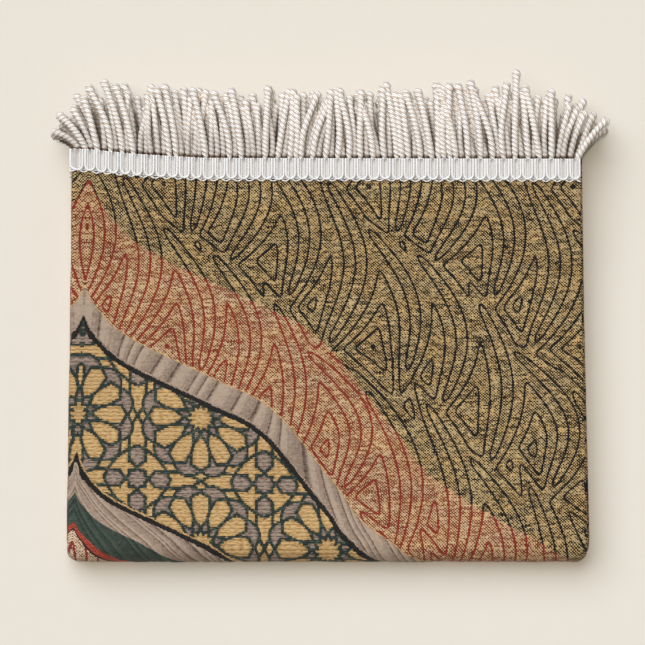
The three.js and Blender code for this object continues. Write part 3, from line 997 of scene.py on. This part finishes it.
class RUG_OT_cloth(bpy.types.Operator):
    """Weave and fold the cloth"""

    bl_idname = "prayer_rug.cloth"
    bl_label = "Folded cloth"

    def execute(self, context):
        scene = context.scene
        fine = 1.35
        rows, run = cloth_stations(fine)
        leg = LEG_LENGTH + FOLD_ARC
        steps = int((LEG_LENGTH - 2) / fine)
        outer = np.concatenate([[leg, leg - 0.6, leg - 1.5], np.linspace(leg - 2.6, FOLD_ARC + 0.3, steps)])
        bend = np.linspace(FOLD_ARC, -FOLD_ARC, 9)
        rim = [leg - 5, leg - 2.6, leg - 1.5, leg - 0.6, leg]
        inner = -np.concatenate([np.linspace(FOLD_ARC + 3, leg - 8, 16), rim])
        places = np.concatenate([outer, bend, inner])
        flat_run = run * FLAT_LENGTH / run[-1]
        down = np.minimum(flat_run, FLAT_LENGTH - flat_run)

        grid_down, grid_place = np.meshgrid(down, places, indexing="ij")
        woven_down = grid_down + PATTERN_START
        across = from_middle(grid_place, woven_down)
        arch = arch_scale(across, woven_down)
        wave, growth = wave_scale(across, grid_down)
        pleat = pleat_scale(across, arch)

        # Relief of the face: quilted between the wavy lines, padded in pleats along the borders
        from_line = np.abs(((wave - WAVE_FIRST) / WAVE_PITCH + 0.5) % 1 - 0.5) * WAVE_PITCH / growth
        quilted = (arch < ZONES["gold_edge"]) | (arch > ZONES["cream"])
        relief = np.where(quilted, 0.28 * smoothstep(0, 2.4, from_line) - 0.22, 0.0)
        upper_band = (arch > ZONES["taupe"]) & (arch < ZONES["upper_black"])
        lower_band = (arch > ZONES["lower_taupe"]) & (arch < ZONES["red"])
        relief = np.where(upper_band | lower_band, 0.62 * np.sin(math.pi * (pleat % 1)) ** 0.6 - 0.3, relief)
        upper_line = (arch > ZONES["upper_black"]) & (arch < ZONES["stars"])
        lower_line = (arch > ZONES["lower_black"]) & (arch < ZONES["lower_taupe"])
        relief = np.where(upper_line | lower_line, -0.25, relief)
        u, v = np.meshgrid(places, run)
        relief = relief + 0.16 * np.sin(u / 9.1 + v / 13.3) * np.sin(v / 10.7 - u / 21)
        relief = relief + 0.1 * np.sin(u / 4.3 - v / 5.9)
        to_rim = np.minimum(leg - np.abs(places)[None, :], np.minimum(run, run[-1] - run)[:, None])
        rounding = 1 - smoothstep(0, 1.9, to_rim)
        face_offset = CLOTH_THICKNESS / 2 + relief * (1 - rounding) - 0.85 * rounding

        face = put_on_cloth(rows[:, None, :], places[None, :], face_offset)
        keep_row = np.unique(np.concatenate([np.arange(0, len(rows), 4), [len(rows) - 1]]))
        keep_place = np.unique(np.concatenate([np.arange(0, len(places), 4), [len(places) - 1]]))
        back_offset = -CLOTH_THICKNESS / 2 + 0.5 * rounding[np.ix_(keep_row, keep_place)]
        back = put_on_cloth(rows[keep_row][:, None, :], places[keep_place][None, :], back_offset)
        face[..., 2] = np.maximum(face[..., 2], LOWEST)
        back[..., 2] = np.maximum(back[..., 2], LOWEST)

        row_count, place_count = arch.shape
        index = np.arange(row_count * place_count).reshape(row_count, place_count)
        back_index = index.size + np.arange(back.shape[0] * back.shape[1]).reshape(back.shape[:2])

        def quads(grid, flip):
            corners = [grid[1:, :-1], grid[:-1, :-1], grid[:-1, 1:], grid[1:, 1:]]
            return np.stack(corners[::-1] if flip else corners, -1).reshape(-1, 4)

        faces = [quads(index, False), quads(back_index, True)]
        for fine_line, coarse_line, kept, flip in (
            (index[0], back_index[0], keep_place, False),
            (index[-1], back_index[-1], keep_place, True),
            (index[:, 0], back_index[:, 0], keep_row, True),
            (index[:, -1], back_index[:, -1], keep_row, False),
        ):
            for k in range(len(kept) - 1):
                stretch = list(fine_line[kept[k]:kept[k + 1] + 1])
                polygon = stretch + [coarse_line[k + 1], coarse_line[k]]
                faces.append(np.array([polygon if flip else polygon[::-1]]))
        points = np.concatenate([face.reshape(-1, 3), back.reshape(-1, 3)])
        material = cloth_material(scene.rug_colours, scene.rug_weave)
        piece = new_piece("rug_cloth", points, faces, material)
        at_back = np.ix_(keep_row, keep_place)
        for name, values in (("arch", arch), ("wave", wave), ("growth", growth), ("pleat", pleat)):
            add_number(piece, name, np.concatenate([values.ravel(), values[at_back].ravel()]))
        grid = np.stack([across, woven_down], -1) * MM
        add_flat_map(piece, "cloth", np.concatenate([grid.reshape(-1, 2), grid[at_back].reshape(-1, 2)]))
        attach(piece, "root")
        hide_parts("rug")
        return {"FINISHED"}


def tape_points(end, place, down, lift):
    """Points on a tape: place across the rug, distance in from its end, height off the cloth."""
    spec = ENDS[end]
    place, down, lift = np.broadcast_arrays(*(np.asarray(k, float) for k in (place, down, lift)))
    rows = ply_stations(spec["level"], spec["y"] - down, -spec["facing"])
    offset = CLOTH_THICKNESS / 2 + TAPE_GAP + lift
    return put_on_cloth(rows, place * spec["facing"], offset)


class RUG_OT_tapes(bpy.types.Operator):
    """Braid the two heading tapes and lay them round the lengthwise fold"""

    bl_idname = "prayer_rug.tapes"
    bl_label = "Braided tapes"

    def execute(self, context):
        material = thread_material("tape_thread", context.scene.rug_colours, 2.2, False)
        units = context.scene.rug_fringe.tape_units
        for end in ENDS:
            self.braid(end, units, material)
        return {"FINISHED"}

    def braid(self, end, units, material):
        heap = Heap()
        rng = np.random.default_rng(7 if end == "a" else 11)
        leg = LEG_LENGTH + FOLD_ARC
        pitch = (leg + 0.4) / units
        middles = (np.arange(units) + 0.5) * pitch
        middles = np.concatenate([middles, -middles]) + rng.normal(0, 0.12, 2 * units)
        width = TAPE_WIDTH - 1.6 + rng.normal(0, 0.18, len(middles))

        # Ground of the tape, a thin strip
        turn = np.linspace(FOLD_ARC, -FOLD_ARC, 9)[1:-1]
        places = np.concatenate([np.linspace(leg, FOLD_ARC, 60), turn, -np.linspace(FOLD_ARC, leg, 60)])
        downs = np.linspace(0.1, TAPE_WIDTH - 1.4, 5)
        top = tape_points(end, places[None, :], downs[:, None], 0.55)
        low = tape_points(end, places[None, :], downs[:, None], 0.05)
        count = top.shape[0] * top.shape[1]
        index = np.arange(count).reshape(top.shape[:2])
        corners = [index[:-1, :-1], index[:-1, 1:], index[1:, 1:], index[1:, :-1]]
        quads = np.stack(corners, -1).reshape(-1, 4)
        loop = np.concatenate([index[0, :], index[1:, -1], index[-1, -2::-1], index[-2:0:-1, 0]])
        wall = np.stack([loop, np.roll(loop, -1), np.roll(loop, -1) + count, loop + count], -1)
        marks = np.stack(np.broadcast_arrays(places[None, :], 0.33 + 0 * downs[:, None]), -1).reshape(-1, 2)
        points = np.concatenate([top.reshape(-1, 3), low.reshape(-1, 3)])
        faces = [quads, quads[:, ::-1] + count, wall]
        # The ground strip is darkened with painted shade, as in the gaps between threads
        heap.add(points, faces, np.concatenate([marks, marks]), 0.45)

        # Loops of bright gimp, each a U
        half = pitch * 0.385
        leg_run = np.linspace(0.0, 1, 8)
        arc = np.linspace(0, math.pi, 9)[1:-1]
        shape_x = np.concatenate([-np.ones(8), -np.cos(arc), np.ones(8)])
        straight = (width - half)[:, None]
        foot = straight + half * np.sin(arc)
        shape_y = np.concatenate([straight * leg_run, foot, straight * leg_run[::-1]], axis=1)
        place = middles[:, None] + shape_x * half + rng.normal(0, 0.07, (len(middles), 1))
        lift = 1.05 + rng.normal(0, 0.06, place.shape)
        heap.add_tubes(tape_points(end, place, shape_y, lift), GIMP_RADIUS, 6, shade=1.0)

        # Chain stitches inside each loop, and the fine warp between loops
        run = np.linspace(0.0, 1, CHAIN_LINKS)
        zigzag = np.where(np.arange(CHAIN_LINKS) % 2, 1.0, -1.0)
        for column in (-0.48, 0.48):
            place = middles[:, None] + column * half + zigzag * 0.5
            down = 0.1 + (width - 1.2)[:, None] * run
            heap.add_tubes(tape_points(end, place, down, 1.0 + 0.3 * zigzag), CHAIN_RADIUS, 5, shade=0.9)
        down = np.broadcast_to(np.linspace(0.1, TAPE_WIDTH - 2.4, 8), (len(middles), 8))
        place = np.broadcast_to(middles[:, None] + pitch * 0.5, down.shape)
        place = np.clip(place, -leg + 0.5, leg - 0.5)
        # The warp is darkened with painted shade, as a dark gap between the loops
        heap.add_tubes(tape_points(end, place, down, 0.62), WARP_RADIUS, 5, shade=0.35)

        # Scalloped thread along the inner edge
        turns = np.linspace(-0.5, 0.5, 9)
        place = middles[:, None] + turns * pitch
        down = TAPE_WIDTH - 0.9 - 0.8 * np.cos(TAU * turns)[None, :] + rng.normal(0, 0.12, (len(middles), 1))
        place = np.clip(place, -leg, leg)
        heap.add_tubes(tape_points(end, place, down, 0.75), EDGE_RADIUS, 6, shade=1.0)
        piece = heap.piece("braided_tape_" + end, material)
        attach(piece, "root")
        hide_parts("fringe_tape_" + end)


class RUG_OT_cords(bpy.types.Operator):
    """Twist the cord loops of both fringes"""

    bl_idname = "prayer_rug.cords"
    bl_label = "Twisted cords"

    def execute(self, context):
        material = thread_material("cord_thread", context.scene.rug_colours, 1.4, True)
        sizes = context.scene.rug_fringe
        for number_of_row, (end, side) in enumerate((("a", 1), ("a", -1), ("b", 1), ("b", -1))):
            heap = self.row(end, side, sizes, np.random.default_rng(31 + number_of_row))
            piece = heap.piece(f"cord_fringe_{end}_{'upper' if side > 0 else 'lower'}", material)
            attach(piece, "root")
            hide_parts("fringe_cords_" + end)
        return {"FINISHED"}

    def row(self, end, side, sizes, rng):
        spec = ENDS[end]
        rank = {("a", 1): 0, ("a", -1): 1, ("b", 1): 2, ("b", -1): 3}[(end, side)]
        count = sizes.cords_per_leg
        cord = np.arange(count)
        pitch = (LEG_LENGTH - 2.0) / count
        root_x = 1.0 + (cord + 0.5) * pitch + rng.normal(0, 0.3, count)
        over = (cord + (rng.random(count) < 0.12)) % 2
        clump = rng.normal(0, 3.2, count)[cord // 3]
        lean = np.interp(root_x, CORD_FAN[:, 0], CORD_FAN[:, 1]) + clump + rng.normal(0, 3.0, count)
        lean += np.where(over, 0, rng.normal(0, 5.0, count))
        reach = np.interp(root_x, CORD_FAN[:, 0], CORD_FAN[:, 2])
        tall = np.where(over, 0.07 + rng.normal(0, 0.035, count), -0.11 + rng.normal(0, 0.06, count))
        length = sizes.cord_length * reach * (1 + tall)
        if rank == 0:
            length[np.argmin(np.abs(root_x - LONG_CORD))] *= LONG_CORD_GAIN
        length = length * ROW_LENGTHS[rank]
        curl = rng.normal(0, 8.0, count)
        station = ply_stations(spec["level"], np.array([spec["y"]]), -1)[0]
        root_z = station[1] + side * ROW_OFFSET

        steps = 48 if rank == 0 else 36
        t = np.concatenate([np.linspace(0, 0.93, steps - 6), (0.95, 0.965, 0.978, 0.988, 0.996, 1.0)])
        # Middle line of each cord in plan, leaning and curling, and its droop
        angle = np.radians(lean[:, None] * (0.5 + 0.7 * t) + curl[:, None] * np.sin(3.0 * t - 0.6))
        step_length = length[:, None] * np.diff(t, prepend=0.0)
        run_x = np.cumsum(np.sin(angle) * step_length, axis=1)
        run_y = np.cumsum(np.cos(angle) * step_length, axis=1)
        x = root_x[:, None] + run_x
        y = spec["y"] - ROOT_INSET + run_y
        hump = np.where(over, 2.8, -1.4)[:, None] * np.sin(np.clip(t * 2.6, 0, math.pi / 2))
        droop = (CORD_DROOP - 1.2 * rank) * t**1.7 * (length / 47)[:, None]
        z = root_z + (hump if side > 0 else hump * 0.5) - droop + rng.normal(0, 0.6, (count, 1)) * t
        z = np.maximum(z, LOWEST_CORD)
        middle = lie_down(x, y, z, station[4])
        ahead = np.gradient(middle, axis=1)
        ahead /= np.linalg.norm(ahead, axis=2, keepdims=True)
        beside = np.cross(ahead, np.array((0.0, 0.0, 1.0)))
        beside /= np.linalg.norm(beside, axis=2, keepdims=True)
        above = np.cross(beside, ahead)

        # The plies wind round the middle line, swell at the tip and close there
        run = length[:, None] * t
        to_tip = length[:, None] - run
        swell = np.exp(-((to_tip - 3.0) / TIP_LENGTH) ** 2)
        size = np.where(over, 1.08, 0.92)[:, None] if rank == 0 else 1.0
        radius = sizes.cord_radius * size * (0.6 + 0.4 * smoothstep(0, 0.1, t)) * (1 + TIP_SWELL * swell)
        radius = radius * np.sqrt(1 - np.clip(1 - to_tip / TIP_LENGTH, 0, 0.99) ** 2)
        pitch_of = sizes.twist_pitch * (1 + rng.normal(0, 0.06, (count, 1)))
        phase = rng.random((count, 1)) * TAU + run / pitch_of * TAU
        spokes = 4 * PLIES
        spoke = np.arange(spokes)
        around = phase[..., None] + spoke / spokes * TAU
        from_crest = np.array((0.0, 0.5, 1.0, 0.5))[spoke % 4]
        reach_out = radius[..., None] * (1 - PLY_GROOVE * from_crest**1.5)
        ring = np.cos(around)[..., None] * beside[:, :, None, :]
        ring = ring + np.sin(around)[..., None] * above[:, :, None, :]
        points = middle[:, :, None, :] + reach_out[..., None] * ring
        number_of = np.arange(points.size // 3).reshape(points.shape[:3])
        following = np.roll(number_of, -1, axis=2)
        quads = np.stack([number_of[:, :-1], number_of[:, 1:], following[:, 1:], following[:, :-1]], -1)
        caps = np.concatenate([number_of[:, 0], number_of[:, -1, ::-1]])
        marks = np.stack(np.broadcast_arrays(run[..., None], from_crest), -1).reshape(-1, 2)
        heap = Heap()

        # Painted shade: the lower cords are darkened as if in the shade of the others, most of all near
        # their roots
        painted_row_shade = np.where(over, 0.05, 0.4)[:, None] * (1 - smoothstep(10, 36, run))
        painted_row_shade = painted_row_shade + ROW_SHADES[rank] * (1 - 0.6 * smoothstep(26, 44, run))
        painted_row_shade = painted_row_shade + np.where(over, 0.1, 0.6)[:, None] * (1 - smoothstep(1.4, 4.0, run))
        shade = np.repeat((1 - painted_row_shade).reshape(-1), spokes)
        heap.add(points.reshape(-1, 3), [quads.reshape(-1, 4), caps], marks, shade)
        return heap


class RUG_OT_stage(bpy.types.Operator):
    """Set the plain floor, the soft lights and the camera straight above"""

    bl_idname = "prayer_rug.stage"
    bl_label = "Floor, lights and camera"

    def execute(self, context):
        scene = context.scene
        stage = scene.rug_stage
        material, tree, shader = new_material("plain_floor")
        where = tree.nodes.new("ShaderNodeTexCoord")
        grain = tree.nodes.new("ShaderNodeTexNoise")
        grain.inputs["Scale"].default_value = 60.0
        tree.links.new(where.outputs["Object"], grain.inputs["Vector"])
        base = scene.rug_colours.floor
        darker = [c * 0.99 for c in base]
        lighter = [min(1, c * 1.01) for c in base]
        colour = colour_mix(Term(grain.outputs["Fac"]), darker, lighter)
        tree.links.new(colour, shader.inputs["Base Color"])
        shader.inputs["Roughness"].default_value = 0.95
        shader.inputs["Specular IOR Level"].default_value = 0.0
        reach = FLOOR_REACH
        corners = [(-reach, -reach, 0), (reach, -reach, 0), (reach, reach, 0), (-reach, reach, 0)]
        floor = new_piece("floor", np.array(corners), [np.array([[0, 1, 2, 3]])], material, smooth=False)

        self.lamp("key_light", stage.key_strength, KEY_COLOUR, 58.0, Vector((0.36, -0.58, -1.0)))
        self.lamp("overhead_light", stage.fill_strength, FILL_COLOUR, 5.0, Vector((0.04, -0.04, -1.0)))
        world = bpy.data.worlds.new("room")
        scene.world = world
        world.use_nodes = True
        world.node_tree.nodes["Background"].inputs["Color"].default_value = (*FILL_COLOUR, 1.0)
        world.node_tree.nodes["Background"].inputs["Strength"].default_value = stage.room_strength

        data = bpy.data.cameras.new("above")
        data.sensor_width = 36.0
        view_width = PICTURE_WIDTH * PIXEL_SIZE * MM
        height = stage.camera_height
        data.lens = data.sensor_width * (height - VIEWED_HEIGHT) / view_width
        data.clip_start, data.clip_end = 0.1, 50.0
        camera = bpy.data.objects.new("above", data)
        scene.collection.objects.link(camera)
        camera.location = (0.0, (VIEW_MIDDLE_Y + BUNDLE_SHIFT[1]) * MM, height)
        camera.rotation_euler = (0.0, 0.0, 0.0)
        scene.camera = camera
        scene.view_settings.view_transform = "Standard"
        # The fine weave stays sharp only if the picture is cleaned without smoothing its guides
        scene.cycles.denoising_prefilter = "NONE"
        return {"FINISHED"}

    @staticmethod
    def lamp(name, strength, colour, spread, direction):
        data = bpy.data.lights.new(name, "SUN")
        data.energy = strength
        data.angle = math.radians(spread)
        data.color = colour
        lamp = bpy.data.objects.new(name, data)
        bpy.context.scene.collection.objects.link(lamp)
        lamp.rotation_mode = "QUATERNION"
        lamp.rotation_quaternion = direction.to_track_quat("-Z", "Y")


class RUG_PT_panel(bpy.types.Panel):
    bl_label = "Prayer rug"
    bl_idname = "RUG_PT_panel"
    bl_space_type = "VIEW_3D"
    bl_region_type = "UI"
    bl_category = "Prayer rug"

    def draw(self, context):
        layout = self.layout
        for operator in OPERATORS:
            layout.operator(operator.bl_idname)
        for group in ("rug_colours", "rug_weave", "rug_fringe", "rug_stage"):
            settings = getattr(context.scene, group)
            box = layout.box()
            for key in settings.__annotations__:
                box.prop(settings, key)


OPERATORS = (RUG_OT_cloth, RUG_OT_tapes, RUG_OT_cords, RUG_OT_stage)
SETTINGS = {
    "rug_colours": RugColours,
    "rug_weave": RugWeave,
    "rug_fringe": FringeSizes,
    "rug_stage": StageSettings,
}


def register():
    for name, group in SETTINGS.items():
        bpy.utils.register_class(group)
        setattr(bpy.types.Scene, name, PointerProperty(type=group))
    for operator in OPERATORS:
        bpy.utils.register_class(operator)
    bpy.utils.register_class(RUG_PT_panel)


def unregister():
    bpy.utils.unregister_class(RUG_PT_panel)
    for operator in reversed(OPERATORS):
        bpy.utils.unregister_class(operator)
    for name, group in SETTINGS.items():
        delattr(bpy.types.Scene, name)
        bpy.utils.unregister_class(group)


def main():
    register()
    bpy.ops.prayer_rug.cloth()
    bpy.ops.prayer_rug.tapes()
    bpy.ops.prayer_rug.cords()
    bpy.ops.prayer_rug.stage()
    bpy.context.view_layer.update()


if __name__ == "__main__":
    main()
